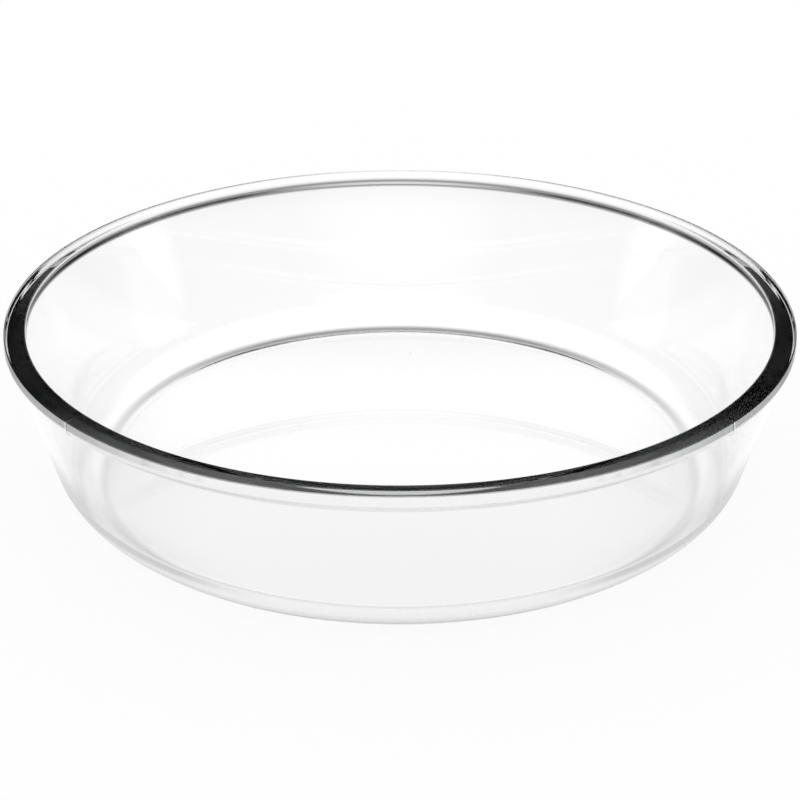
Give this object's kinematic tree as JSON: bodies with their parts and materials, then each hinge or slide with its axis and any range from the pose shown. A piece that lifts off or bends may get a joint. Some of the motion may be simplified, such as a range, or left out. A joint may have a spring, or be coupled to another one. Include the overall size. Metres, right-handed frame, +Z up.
{
  "type": "baking dish",
  "caption": "Round clear glass baking dish with leaning walls, rounded corners, a flat collar rim and a flat floor on a low foot ring.",
  "frame": {"origin": "centre of the plane that the foot ring stands on, on the dish's axis", "axes": "+Z up along the dish's axis, out of the open mouth; the dish is round, so +X and +Y are free"},
  "size_m": [0.26, 0.26, 0.0575],
  "materials": {
    "clear_glass": "clear pressed glass with a glossy fire-polished surface"
  },
  "bodies": {
    "root": {"glass_dish": "clear_glass"}
  },
  "joints": []
}
